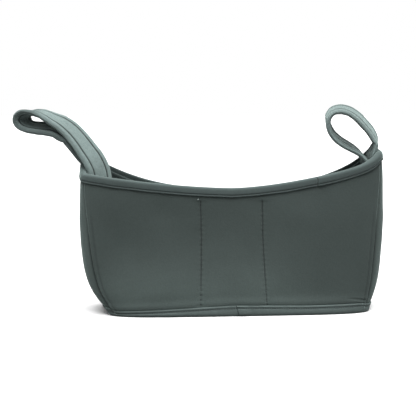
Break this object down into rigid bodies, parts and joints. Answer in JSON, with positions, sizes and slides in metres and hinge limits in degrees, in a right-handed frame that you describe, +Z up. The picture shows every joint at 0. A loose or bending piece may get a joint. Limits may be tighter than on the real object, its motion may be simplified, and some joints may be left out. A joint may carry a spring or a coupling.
{
  "type": "stroller organizer",
  "caption": "Soft open-topped stroller organizer with a curved bound rim, inner dividers and a loop strap at each end.",
  "frame": {"origin": "centre of the flat base panel's underside", "axes": "+X along the length towards the upright strap loop, +Y towards the back wall, +Z up"},
  "size_m": [0.4643, 0.0978, 0.2574],
  "materials": {
    "foam_cloth": "matte",
    "binding_tape": "matte",
    "lining_cloth": "matte",
    "strap_cloth": "matte"
  },
  "bodies": {
    "root": {"front_panel": "foam_cloth", "back_panel": "foam_cloth", "left_end": "foam_cloth", "right_end": "foam_cloth", "base_panel": "foam_cloth", "rim_binding": "binding_tape", "base_band": "binding_tape", "inner_pocket": "lining_cloth", "left_divider": "lining_cloth", "right_divider": "lining_cloth", "left_strap": "strap_cloth", "right_strap": "strap_cloth"}
  },
  "joints": []
}
